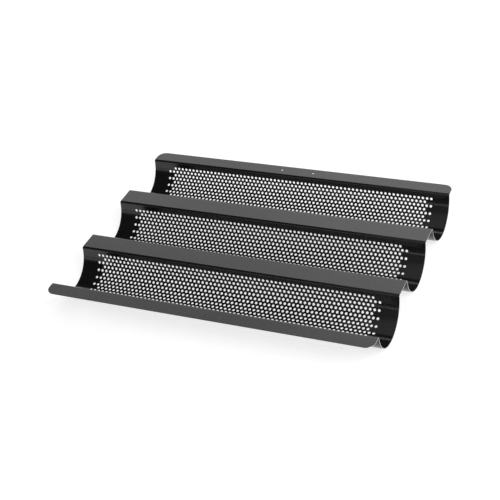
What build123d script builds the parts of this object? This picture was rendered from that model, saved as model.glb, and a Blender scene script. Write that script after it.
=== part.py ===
"""Baguette tray: one perforated steel sheet folded into three open-ended troughs.

The sheet runs from the front flange (-Y) to the rear flange (+Y). It is divided at its bend lines
into flat strips, which are the flanges and ridges, and curved strips, which are the troughs with
the tight bend on each side. The strips meet face to face. +X runs along the troughs, +Z is up, and
the origin is under the centre of the tray, at the level that the troughs rest on. Lengths are in
millimetres, and angles are in degrees.
"""
from build123d import *
from math import cos, degrees, radians, sin, sqrt
import os

# ---- driving dimensions --------------------------------------------------------------------
tray_length = 380.0         # along the troughs
tray_width = 289.0          # over both flanges
sheet = 0.8                 # thickness of the coated sheet
trough_pitch = 93.0         # from one trough's centre line to the next
trough_radius = 33.5        # to the middle of the sheet's thickness
wall_lean = 4.0             # of a trough's wall from the vertical, where its bend starts
bend_radius = 2.0           # to the middle of the sheet's thickness
flange_corner = 10.0        # radius of the flanges' outer corners

hole_diameter = 3.0         # round perforations in staggered rows, at 60 degrees
hole_pitch = 5.0            # along a row
holes_per_row = 67
rows = 21                   # in each trough
row_shift = 3.75            # of the rows along X, to one side and the other in turn

flange_hole_diameter = 2.7  # two in each flange
flange_hole_spacing = 40.0
flange_hole_inset = 7.5     # from the outer edge

# For each trough: its place in pitches from the middle one, the distance along the sheet from its
# rear bend line to its first row of holes, and the direction in which that first row is shifted.
troughs = {
    "rear_trough": (1, 9.4, 1),
    "middle_trough": (0, 10.0, -1),
    "front_trough": (-1, 8.5, -1),
}

# ---- derived dimensions --------------------------------------------------------------------
reach = trough_radius + bend_radius                      # between the two centres of curvature
half_opening = reach * cos(radians(wall_lean))           # from a trough's centre to its bend line
flat_height = sheet / 2 + reach * (1 - sin(radians(wall_lean)))
trough_height = sheet / 2 + trough_radius                # of the trough's centre of curvature
bend_height = flat_height - bend_radius                  # of the bends' centres of curvature
bend_turn = 90 - wall_lean
bend_length = radians(bend_turn) * bend_radius           # along the middle of the sheet
ridge_width = trough_pitch - 2 * half_opening
flange_width = tray_width / 2 - trough_pitch - half_opening

row_spacing = hole_pitch * sqrt(3) / 2
row_turn = degrees(row_spacing / trough_radius)          # angle between rows around the trough
punch_length = 4 * sheet                                 # through the sheet, with room to spare

section_plane = Plane(origin=(-tray_length / 2, 0, 0), x_dir=(0, 1, 0), z_dir=(1, 0, 0))


def first_facet_angle(first_row):
    """Angle below the rear horizontal at which the first row's facet starts."""
    return wall_lean + degrees((first_row - bend_length) / trough_radius) - row_turn / 2


def side_of_sheet(offset, first_row):
    """Section line of a trough, from its rear bend line to its front one.

    The line is offset outwards from the middle of the sheet. The sheet is flat across each row
    of holes, so that a hole is a true cylinder through two parallel planes. The facets stay
    within 0.07 mm of the arc.
    """
    wall = trough_radius + offset
    bend = bend_radius - offset
    start = first_facet_angle(first_row)
    finish = start + rows * row_turn
    facet_ends = [
        (wall * cos(radians(angle)), trough_height - wall * sin(radians(angle)))
        for angle in (start + row * row_turn for row in range(rows + 1))
    ]
    return [
        CenterArc((half_opening, bend_height), bend, 90, bend_turn),
        CenterArc((0, trough_height), wall, -wall_lean, wall_lean - start),
        Polyline(facet_ends),
        CenterArc((0, trough_height), wall, -finish, finish - 180 + wall_lean),
        CenterArc((-half_opening, bend_height), bend, wall_lean, bend_turn),
    ]


def trough_blank(first_row):
    """A trough with both its bends, about its own centre line, before perforation."""
    inner = side_of_sheet(-sheet / 2, first_row)
    outer = side_of_sheet(sheet / 2, first_row)
    bend_lines = [
        Line(inner[0] @ 0, outer[0] @ 0),
        Line(inner[-1] @ 1, outer[-1] @ 1),
    ]
    section = make_face(inner + outer + bend_lines)
    return extrude(section_plane * section, amount=tray_length)


def perforations(first_row, first_shift):
    """Punches for all rows of a trough, each one square to its row's facet."""
    punch = Cylinder(hole_diameter / 2, punch_length)
    punches = []
    for row in range(rows):
        angle = radians(first_facet_angle(first_row) + (row + 0.5) * row_turn)
        outward = Vector(0, cos(angle), -sin(angle))
        shift = row_shift * first_shift * (-1) ** row
        for hole in range(holes_per_row):
            x = shift + (hole - (holes_per_row - 1) / 2) * hole_pitch
            centre = Vector(x, 0, trough_height) + outward * trough_radius
            punches.append(Plane(origin=centre, z_dir=outward) * punch)
    return punches


def trough(place, first_row, first_shift):
    """A perforated trough in its place on the tray."""
    shell = trough_blank(first_row) - perforations(first_row, first_shift)
    return Pos(0, place * trough_pitch, 0) * shell


def ridge(place):
    """Flat strip between two troughs."""
    return Pos(0, place * trough_pitch, flat_height) * Box(tray_length, ridge_width, sheet)


def flange(side):
    """Flat outer strip with rounded outer corners and two small holes."""
    bend_line = tray_width / 2 - flange_width
    outline = Pos(0, bend_line + flange_width / 2) * Rectangle(tray_length, flange_width)
    corners = outline.vertices().group_by(Axis.Y)[-1]
    outline = fillet(corners, flange_corner)
    hole_row = Pos(0, tray_width / 2 - flange_hole_inset) * GridLocations(flange_hole_spacing, 0, 2, 1)
    outline -= hole_row * Circle(flange_hole_diameter / 2)
    strip = extrude(Pos(0, 0, flat_height - sheet / 2) * outline, amount=sheet)
    return strip if side > 0 else mirror(strip, about=Plane.XZ)


def nodes():
    """Every node of the tray, by name."""
    strips = {name: trough(*layout) for name, layout in troughs.items()}
    strips["rear_ridge"] = ridge(0.5)
    strips["front_ridge"] = ridge(-0.5)
    strips["rear_flange"] = flange(1)
    strips["front_flange"] = flange(-1)
    return strips


os.makedirs("parts", exist_ok=True)
for name, shape in nodes().items():
    export_step(shape, f"parts/{name}.step")
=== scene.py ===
"""Looks of the baguette tray: a folded, perforated steel sheet with a black non-stick coating.

Every strip of the sheet is drawn as a flat plan of (x, s) points, where s runs across the strip
from front to rear, and is then folded into place. Lengths are in metres.
"""

from math import atan, cos, pi, radians, sqrt

import bpy
import numpy as np
from mathutils import Matrix, Vector


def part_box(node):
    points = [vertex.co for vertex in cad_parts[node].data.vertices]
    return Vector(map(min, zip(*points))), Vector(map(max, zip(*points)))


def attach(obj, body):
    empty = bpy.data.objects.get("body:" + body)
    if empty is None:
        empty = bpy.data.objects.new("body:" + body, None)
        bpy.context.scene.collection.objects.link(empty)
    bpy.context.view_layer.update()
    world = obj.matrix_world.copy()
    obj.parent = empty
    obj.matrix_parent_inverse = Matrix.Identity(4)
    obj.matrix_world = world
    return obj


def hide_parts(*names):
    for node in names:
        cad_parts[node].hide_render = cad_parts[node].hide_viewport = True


MM = 0.001

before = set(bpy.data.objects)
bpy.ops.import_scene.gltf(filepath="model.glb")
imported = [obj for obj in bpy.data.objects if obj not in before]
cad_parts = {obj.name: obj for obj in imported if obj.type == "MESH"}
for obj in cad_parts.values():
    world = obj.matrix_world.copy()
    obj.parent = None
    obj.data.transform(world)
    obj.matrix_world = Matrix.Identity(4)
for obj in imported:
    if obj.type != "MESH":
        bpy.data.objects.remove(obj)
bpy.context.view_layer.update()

# ---- sizes taken from the frame ------------------------------------------------------------
ridge_low, ridge_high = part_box("front_ridge")
trough_low, trough_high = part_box("middle_trough")
SHEET = ridge_high.z - ridge_low.z
FLAT_HEIGHT = (ridge_high.z + ridge_low.z) / 2          # of the flats, at the middle of the sheet
HALF_LENGTH = trough_high.x
HALF_OPENING = trough_high.y                            # from a trough's centre to its bend line

# ---- section of a trough, at the middle of the sheet ---------------------------------------
BEND_RADIUS = 2 * MM
DROP = FLAT_HEIGHT - SHEET / 2
LEAN = pi / 2 - 2 * atan(DROP / HALF_OPENING)           # of the wall from the vertical
TROUGH_RADIUS = HALF_OPENING / cos(LEAN) - BEND_RADIUS
TROUGH_HEIGHT = SHEET / 2 + TROUGH_RADIUS
BEND_HEIGHT = FLAT_HEIGHT - BEND_RADIUS
BEND_LENGTH = (pi / 2 - LEAN) * BEND_RADIUS
SECTION_LENGTH = 2 * BEND_LENGTH + (pi - 2 * LEAN) * TROUGH_RADIUS

# ---- perforation ---------------------------------------------------------------------------
HOLE_RADIUS = 1.5 * MM
HOLE_PITCH = 5 * MM
HOLES_PER_ROW = 67
ROWS = 21
ROW_SPACING = HOLE_PITCH * sqrt(3) / 2
ROW_SHIFT = 3.75 * MM
# Distance from the rear bend line to the first row, and the way that row is shifted along X.
TROUGHS = {
    "rear_trough": (9.4 * MM, 1),
    "middle_trough": (10.0 * MM, -1),
    "front_trough": (8.5 * MM, -1),
}

# ---- flanges and edges ---------------------------------------------------------------------
CORNER_RADIUS = 10 * MM
FLANGE_HOLE_RADIUS = 1.35 * MM
FLANGE_HOLE_X = 20 * MM
FLANGE_HOLE_INSET = 7.5 * MM
LIP = 0.12 * MM                                         # rounding of the coated edges

# ---- fineness of the meshes ----------------------------------------------------------------
RING = 16                                               # points round a hole
BEND_STEPS = 10                                         # strips of faces round a bend
CORNER_STEPS = 12                                       # faces round a flange's corner
FLAT_STEP = 10 * MM                                     # between lines across a flat
HOLE_CELL = 3 * MM                                      # half width of a flange hole's cell

# ---- coating -------------------------------------------------------------------------------
BARE = "bare_metal"                                     # mesh attribute, 1 on the sheared ends
STEEL = (0.5, 0.49, 0.47)
FLECKS = 0.9 * MM                                       # size of the flecks and the orange peel
CLOUDS = 45 * MM                                        # size of the duller and shinier patches
WAVES = 60 * MM                                         # size of the faint waves in the sheet
PEEL_DEPTH = 0.05 * MM
WAVE_DEPTH = 0.4 * MM


# ---- folding -------------------------------------------------------------------------------
def fold_flat(x, s, up):
    """Place of a plan point on a flat: s is its Y, and up is its height over mid-sheet."""
    return np.stack(np.broadcast_arrays(x, s, FLAT_HEIGHT + up), axis=-1)


def fold_trough(centre_y):
    """Folding function of one trough: s runs from its front bend line to its rear one."""
    def fold(x, s, up):
        from_bend = np.minimum(s, SECTION_LENGTH - s)
        side = np.where(s > SECTION_LENGTH / 2, 1, -1)
        turn = from_bend / BEND_RADIUS
        bend_y = HALF_OPENING - (BEND_RADIUS + up) * np.sin(turn)
        bend_z = BEND_HEIGHT + (BEND_RADIUS + up) * np.cos(turn)
        angle = LEAN + (from_bend - BEND_LENGTH) / TROUGH_RADIUS
        wall_y = (TROUGH_RADIUS - up) * np.cos(angle)
        wall_z = TROUGH_HEIGHT - (TROUGH_RADIUS - up) * np.sin(angle)
        in_bend = from_bend < BEND_LENGTH
        y = centre_y + side * np.where(in_bend, bend_y, wall_y)
        return np.stack(np.broadcast_arrays(x, y, np.where(in_bend, bend_z, wall_z)), axis=-1)
    return fold


# ---- plans ---------------------------------------------------------------------------------
def spaced(start, stop, step):
    """Evenly spaced values from start to stop, about step apart."""
    return np.linspace(start, stop, max(1, round(abs(stop - start) / step)) + 1)


def grid(xs, ss):
    """Plan points of a rectangular grid, as an array of [x index, s index, (x, s)]."""
    return np.stack(np.meshgrid(xs, ss, indexing="ij"), axis=-1)


def trough_plan(first_row):
    """Plan of a perforated trough, whose hole centres and cell corners lie on grid lines."""
    half_pitch = HOLE_PITCH / 2
    field_half = ROW_SHIFT + HOLES_PER_ROW * half_pitch
    field_x = spaced(-field_half, field_half, half_pitch)
    field_rear = SECTION_LENGTH - first_row + ROW_SPACING / 2
    field_front = field_rear - ROWS * ROW_SPACING
    bend_step = BEND_LENGTH / BEND_STEPS
    ss = np.concatenate([
        spaced(0, BEND_LENGTH, bend_step)[:-1],
        spaced(BEND_LENGTH, field_front, ROW_SPACING / 2)[:-1],
        spaced(field_front, field_rear, ROW_SPACING / 2),
        spaced(field_rear, SECTION_LENGTH - BEND_LENGTH, ROW_SPACING / 2)[1:],
        spaced(SECTION_LENGTH - BEND_LENGTH, SECTION_LENGTH, bend_step)[1:],
    ])

    def plan(inset):
        end = HALF_LENGTH - inset
        return grid(np.concatenate([[-end], field_x, [end]]), ss)

    return plan, field_x, ss


def trough_holes(first_row, first_shift, field_x, ss):
    """Grid indices and radii of a trough's holes."""
    holes = []
    for row in range(ROWS):
        s = SECTION_LENGTH - first_row - row * ROW_SPACING
        js = int(np.argmin(abs(ss - s)))
        shift = ROW_SHIFT * first_shift * (-1) ** row
        first_x = shift - (HOLES_PER_ROW - 1) / 2 * HOLE_PITCH
        ix = int(np.argmin(abs(field_x - first_x))) + 1
        holes += [(ix + 2 * hole, js, HOLE_RADIUS) for hole in range(HOLES_PER_ROW)]
    return holes


def ridge_plan(low, high):
    """Plan of a flat ridge between its two bend lines."""
    def plan(inset):
        end = HALF_LENGTH - inset
        return grid(spaced(-end, end, FLAT_STEP), spaced(low.y, high.y, FLAT_STEP / 2))
    return plan


def flange_plan(bend_line, edge):
    """Plan of a flange whose outer edge is rounded at both corners.

    Each line across the flange runs from the bend line to the outline, and the lines gather
    round the corners. The lines beside the two small holes make their cells.
    """
    outward = 1 if edge > bend_line else -1
    hole_y = edge - outward * FLANGE_HOLE_INSET
    cell = outward * HOLE_CELL
    hole_lines = [x + dx for x in (-FLANGE_HOLE_X, FLANGE_HOLE_X) for dx in (-HOLE_CELL, 0, HOLE_CELL)]
    straight = HALF_LENGTH - CORNER_RADIUS
    middle = np.concatenate([
        spaced(-straight, hole_lines[0], FLAT_STEP)[:-1],
        hole_lines[:3],
        spaced(hole_lines[2], hole_lines[3], FLAT_STEP)[1:-1],
        hole_lines[3:],
        spaced(hole_lines[-1], straight, FLAT_STEP)[1:],
    ])
    sweep = np.linspace(0, pi / 2, CORNER_STEPS + 1)[1:]
    across = np.array([bend_line, hole_y - cell, hole_y, hole_y + cell, edge])
    share = (across - bend_line) / (edge - bend_line)

    def plan(inset):
        radius = CORNER_RADIUS - inset
        arc_x = straight + radius * np.sin(sweep)
        arc_y = edge - outward * (CORNER_RADIUS - radius * np.cos(sweep))
        xs = np.concatenate([-arc_x[::-1], middle, arc_x])
        outline = np.concatenate([arc_y[::-1], np.full(len(middle), edge - outward * inset), arc_y])
        ys = bend_line + share[None, :] * (outline[:, None] - bend_line)
        points = np.stack([np.repeat(xs[:, None], len(share), axis=1), ys], axis=-1)
        return points if outward > 0 else points[:, ::-1]

    first = len(sweep)
    columns = [first + int(np.argmin(abs(middle - x))) for x in (-FLANGE_HOLE_X, FLANGE_HOLE_X)]
    return plan, [(ix, 2, FLANGE_HOLE_RADIUS) for ix in columns]


# ---- mesh of a strip -----------------------------------------------------------------------
def outline_loop(nx, ns):
    """Grid indices round the outline of a strip, anticlockwise from above."""
    front = [(i, 0) for i in range(nx - 1)]
    right = [(nx - 1, j) for j in range(ns - 1)]
    rear = [(i, ns - 1) for i in range(nx - 1, 0, -1)]
    left = [(0, j) for j in range(ns - 1, 0, -1)]
    loop = np.array(front + right + rear + left)
    return loop[:, 0], loop[:, 1]


def quads_between(lower, upper):
    """Faces joining two closed rings of vertex numbers, along the last axis."""
    return np.stack([lower, np.roll(lower, -1, -1), np.roll(upper, -1, -1), upper], -1).reshape(-1, 4)


def ring_to_cell(cell, ring):
    """Triangles between a hole's ring and the eight corners of its cell."""
    after = np.roll(cell, -1, -1)
    start, middle = ring[:, 0::2], ring[:, 1::2]
    finish = np.roll(start, -1, -1)
    triangles = [(cell, middle, start), (cell, after, middle), (after, finish, middle)]
    return np.concatenate([np.stack(t, -1).reshape(-1, 3) for t in triangles])


class Vertices:
    """Vertices of a strip, folded into place one layer after another, each bare or coated."""

    def __init__(self, fold):
        self.fold = fold
        self.places = []
        self.bare = []
        self.count = 0

    def add(self, points, up, bare=0.0):
        """Adds a layer of plan points at a height over mid-sheet, and gives their numbers."""
        shape = points.shape[:-1]
        self.places.append(self.fold(points[..., 0], points[..., 1], up).reshape(-1, 3))
        self.bare.append(np.broadcast_to(bare, shape).reshape(-1))
        first = self.count
        self.count += len(self.places[-1])
        return np.arange(first, self.count).reshape(shape)


def side_faces(top, under, holes):
    """Faces of both sides of the sheet, without the cells that the holes are in."""
    kept = np.ones((top.shape[0] - 1, top.shape[1] - 1), bool)
    for ix, js, _ in holes:
        kept[ix - 1:ix + 1, js - 1:js + 1] = False

    def cells(number):
        corners = (number[:-1, :-1], number[1:, :-1], number[1:, 1:], number[:-1, 1:])
        return np.stack([corner[kept] for corner in corners], -1)

    return [cells(top), cells(under)[:, ::-1]]


def edge_faces(vertices, face, outline, top, under):
    """Faces of the rounded edges round a strip. The ends that face along X are bare metal."""
    loop = outline_loop(*top.shape)
    sheared = abs(outline[loop] - face[loop])[:, 0] > LIP / 2
    upper_rim = vertices.add(outline[loop], SHEET / 2 - LIP, sheared)
    lower_rim = vertices.add(outline[loop], LIP - SHEET / 2, sheared)
    return [
        quads_between(upper_rim, top[loop]),
        quads_between(lower_rim, upper_rim),
        quads_between(under[loop], lower_rim),
    ]


def hole_faces(vertices, face, top, under, holes):
    """Faces round the holes on both sides of the sheet, and the walls of the holes."""
    at = np.array([(ix, js) for ix, js, _ in holes])
    radius = np.array([radius for _, _, radius in holes])[:, None, None]
    around = np.array([(1, 0), (1, 1), (0, 1), (-1, 1), (-1, 0), (-1, -1), (0, -1), (1, -1)])
    corner = tuple(np.moveaxis(at[:, None, :] + around, -1, 0))
    centre = face[at[:, 0], at[:, 1]][:, None, :]
    angle = np.arange(RING) * 2 * pi / RING
    circle = np.stack([np.cos(angle), np.sin(angle)], -1)
    mouth = vertices.add(centre + circle * (radius + LIP), SHEET / 2)
    neck = vertices.add(centre + circle * radius, SHEET / 2 - LIP)
    foot = vertices.add(centre + circle * radius, -SHEET / 2)
    return [
        ring_to_cell(top[corner], mouth),
        ring_to_cell(under[corner], foot)[:, ::-1],
        quads_between(mouth, neck),
        quads_between(neck, foot),
    ]


def build_strip(name, plan, holes, fold):
    """Mesh object of one strip: both faces, its rounded edges, and its holes."""
    vertices = Vertices(fold)
    face, outline = plan(LIP), plan(0)
    top = vertices.add(face, SHEET / 2)
    under = vertices.add(face, -SHEET / 2)
    faces = side_faces(top, under, holes) + edge_faces(vertices, face, outline, top, under)
    if holes:
        faces += hole_faces(vertices, face, top, under, holes)
    return mesh_object(name, np.concatenate(vertices.places), faces, np.concatenate(vertices.bare))


def mesh_object(name, places, faces, bare):
    """Object from vertex places, arrays of faces, and how bare the metal is at each vertex."""
    used = np.unique(np.concatenate([f.ravel() for f in faces]))
    new_number = np.full(len(places), -1)
    new_number[used] = np.arange(len(used))
    mesh = bpy.data.meshes.new(name)
    mesh.from_pydata(places[used].tolist(), [], [f for part in faces for f in new_number[part].tolist()])
    attribute = mesh.attributes.new(BARE, "FLOAT", "POINT")
    attribute.data.foreach_set("value", bare[used].astype(np.float32))
    mesh.shade_smooth()
    mesh.set_sharp_from_angle(angle=radians(30))
    mesh.validate()
    piece = bpy.data.objects.new(name, mesh)
    bpy.context.scene.collection.objects.link(piece)
    return piece


# ---- materials -----------------------------------------------------------------------------
def new_material(name):
    """Empty material with its Principled shader, ready for more nodes."""
    material = bpy.data.materials.new(name)
    material.use_nodes = True
    nodes = material.node_tree.nodes
    nodes.clear()
    output = nodes.new("ShaderNodeOutputMaterial")
    shader = nodes.new("ShaderNodeBsdfPrincipled")
    material.node_tree.links.new(shader.outputs["BSDF"], output.inputs["Surface"])
    return material, shader


def noise(tree, size, detail, roughness=0.5, stretch=(1, 1, 1)):
    """Factor output of a noise with features of a size, over the object's own coordinates."""
    place = tree.nodes.new("ShaderNodeTexCoord")
    mapping = tree.nodes.new("ShaderNodeMapping")
    mapping.inputs["Scale"].default_value = stretch
    texture = tree.nodes.new("ShaderNodeTexNoise")
    texture.inputs["Scale"].default_value = 1 / size
    texture.inputs["Detail"].default_value = detail
    texture.inputs["Roughness"].default_value = roughness
    tree.links.new(place.outputs["Object"], mapping.inputs["Vector"])
    tree.links.new(mapping.outputs["Vector"], texture.inputs["Vector"])
    return texture.outputs["Fac"]


def remap(tree, value, low, high):
    """Maps the usual range of a noise to the range from low to high."""
    ranged = tree.nodes.new("ShaderNodeMapRange")
    ranged.inputs["From Min"].default_value = 0.3
    ranged.inputs["From Max"].default_value = 0.7
    ranged.inputs["To Min"].default_value = low
    ranged.inputs["To Max"].default_value = high
    tree.links.new(value, ranged.inputs["Value"])
    return ranged.outputs["Result"]


def mixed(tree, factor, first, second):
    """Colour between two, each a colour or a socket, by a factor socket."""
    mix = tree.nodes.new("ShaderNodeMix")
    mix.data_type = "RGBA"
    tree.links.new(factor, mix.inputs["Factor"])
    sockets = [socket for socket in mix.inputs if socket.type == "RGBA"]
    for socket, colour in zip(sockets, (first, second)):
        if isinstance(colour, tuple):
            socket.default_value = (*colour, 1)
        else:
            tree.links.new(colour, socket)
    return next(socket for socket in mix.outputs if socket.type == "RGBA")


def bumped(tree, height, strength, distance, before=None):
    """Normal output of a bump by a height socket, on top of an earlier one."""
    bump = tree.nodes.new("ShaderNodeBump")
    bump.inputs["Strength"].default_value = strength
    bump.inputs["Distance"].default_value = distance
    tree.links.new(height, bump.inputs["Height"])
    if before is not None:
        tree.links.new(before, bump.inputs["Normal"])
    return bump.outputs["Normal"]


def coating_material(name, smoothest, roughest, darkest, palest):
    """Baked-on black non-stick coating with flecks, orange peel and bare sheared ends."""
    material, shader = new_material(name)
    tree = material.node_tree
    flecks = noise(tree, FLECKS, detail=3, roughness=0.6)
    clouds = noise(tree, CLOUDS, detail=3, stretch=(0.4, 1, 1))
    waves = noise(tree, WAVES, detail=1, stretch=(0.5, 1, 1))

    black = mixed(tree, remap(tree, flecks, 0, 1), (darkest,) * 3, (palest,) * 3)
    bare = tree.nodes.new("ShaderNodeAttribute")
    bare.attribute_name = BARE
    patchy = tree.nodes.new("ShaderNodeMath")
    patchy.operation = "MULTIPLY"
    tree.links.new(bare.outputs["Fac"], patchy.inputs[0])
    tree.links.new(remap(tree, flecks, 0.6, 1.0), patchy.inputs[1])
    colour = mixed(tree, patchy.outputs["Value"], black, STEEL)
    tree.links.new(colour, shader.inputs["Base Color"])

    tree.links.new(remap(tree, clouds, smoothest, roughest), shader.inputs["Roughness"])
    normal = bumped(tree, waves, 0.25, WAVE_DEPTH)
    normal = bumped(tree, flecks, 0.12, PEEL_DEPTH, before=normal)
    tree.links.new(normal, shader.inputs["Normal"])
    shader.inputs["IOR"].default_value = 1.5
    return material


def floor_material():
    """White table, lit partly from inside so that it stays pale under the tray."""
    material, shader = new_material("white_table")
    shader.inputs["Base Color"].default_value = (0.35, 0.35, 0.35, 1)
    shader.inputs["Roughness"].default_value = 0.6
    shader.inputs["Specular IOR Level"].default_value = 0.2
    shader.inputs["Emission Color"].default_value = (1, 1, 1, 1)
    shader.inputs["Emission Strength"].default_value = 0.74
    return material


# ---- pieces --------------------------------------------------------------------------------
def place_piece(piece, node, material):
    """Gives a piece its material, body and material slot, in place of its CAD node."""
    piece.data.materials.append(material)
    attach(piece, "root")
    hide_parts(node)


def build_troughs(material):
    """The three perforated troughs."""
    for node, (first_row, first_shift) in TROUGHS.items():
        low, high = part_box(node)
        plan, field_x, ss = trough_plan(first_row)
        holes = trough_holes(first_row, first_shift, field_x, ss)
        piece = build_strip(f"{node}_sheet", plan, holes, fold_trough((low.y + high.y) / 2))
        place_piece(piece, node, material)


def build_ridges(material):
    """The two flat strips between the troughs."""
    for node in ("rear_ridge", "front_ridge"):
        piece = build_strip(f"{node}_sheet", ridge_plan(*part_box(node)), [], fold_flat)
        place_piece(piece, node, material)


def build_flanges(material):
    """The two flat outer strips."""
    for node in ("rear_flange", "front_flange"):
        low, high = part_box(node)
        bend_line, edge = (low.y, high.y) if low.y > 0 else (high.y, low.y)
        plan, holes = flange_plan(bend_line, edge)
        piece = build_strip(f"{node}_sheet", plan, holes, fold_flat)
        place_piece(piece, node, material)


# ---- stage, light and camera ---------------------------------------------------------------
def build_floor():
    """Large square table top at the level that the tray rests on."""
    half = 6.0
    mesh = bpy.data.meshes.new("table")
    corners = [(-half, -half, 0), (half, -half, 0), (half, half, 0), (-half, half, 0)]
    mesh.from_pydata(corners, [], [(0, 1, 2, 3)])
    mesh.materials.append(floor_material())
    floor = bpy.data.objects.new("table", mesh)
    bpy.context.scene.collection.objects.link(floor)


def softbox(name, centre, target, width, height, radiance):
    """Rectangular soft light of a given radiance that points at a target."""
    light = bpy.data.lights.new(name, "AREA")
    light.shape = "RECTANGLE"
    light.size = width
    light.size_y = height
    light.energy = radiance * pi * width * height
    lamp = bpy.data.objects.new(name, light)
    bpy.context.scene.collection.objects.link(lamp)
    lamp.location = centre
    lamp.rotation_euler = (Vector(target) - Vector(centre)).to_track_quat("-Z", "Y").to_euler()
    lamp.visible_camera = False


def light_scene():
    """Panels behind the tray and low and high in front, softboxes above and at the sides, dark room."""
    world = bpy.data.worlds.new("studio")
    world.use_nodes = True
    background = world.node_tree.nodes["Background"]
    background.inputs["Color"].default_value = (1, 1, 1, 1)
    background.inputs["Strength"].default_value = 0.03
    bpy.context.scene.world = world
    softbox("rear_panel", (-0.3, 2.0, 1.0), (-0.3, 0, 0.2), width=3.6, height=2.1, radiance=1.35)
    softbox("rear_right_panel", (0.3, 2.1, 1.0), (0.3, 0, 0.2), width=2.4, height=2.1, radiance=0.45)
    softbox("front_panel", (-0.2, -1.95, 0.37), (-0.2, 0, 0.1), width=1.6, height=0.42, radiance=1.7)
    softbox("front_left_panel", (-1.6, -1.95, 0.23), (-1.6, 0, 0.1), width=1.2, height=0.31, radiance=0.95)
    softbox("front_fill", (0.1, -2.0, 1.4), (0, 0, 0.1), width=2.4, height=1.3, radiance=0.18)
    softbox("overhead_softbox", (0.3, -0.3, 1.3), (0.3, -0.3, 0), width=1.2, height=1.7, radiance=0.44)
    softbox("key_softbox", (2.0, 0.3, 1.0), (0, 0, 0), width=1.2, height=1.2, radiance=4.0)
    softbox("right_softbox", (1.4, -0.9, 1.3), (0, 0, 0), width=1.5, height=1.5, radiance=4.5)
    softbox("left_softbox", (-2.3, -0.5, 1.1), (0, 0, 0), width=1.2, height=1.2, radiance=4.0)
    bpy.context.scene.view_settings.view_transform = "Standard"


def build_camera():
    """Camera in front of the tray and to its right, looking down, with a slight roll."""
    azimuth, elevation, roll = radians(29.07), radians(36.01), radians(9.86)
    aim = Vector((-17.3, 18.8, 0)) * MM
    distance = 1.4105
    back = Vector((
        np.sin(azimuth) * np.cos(elevation), -np.cos(azimuth) * np.cos(elevation), np.sin(elevation)
    ))
    data = bpy.data.cameras.new("camera")
    data.sensor_width = 36
    data.lens = 87.97
    camera = bpy.data.objects.new("camera", data)
    bpy.context.scene.collection.objects.link(camera)
    facing = (-back).to_track_quat("-Z", "Y").to_matrix().to_4x4()
    camera.matrix_world = Matrix.Translation(aim + back * distance) @ facing @ Matrix.Rotation(-roll, 4, "Z")
    bpy.context.scene.camera = camera


satin = coating_material("satin_coating", smoothest=0.22, roughest=0.28, darkest=0.0, palest=0.014)
gloss = coating_material("gloss_coating", smoothest=0.12, roughest=0.17, darkest=0.003, palest=0.007)
build_camera()
build_troughs(gloss)
build_ridges(satin)
build_flanges(satin)
build_floor()
light_scene()
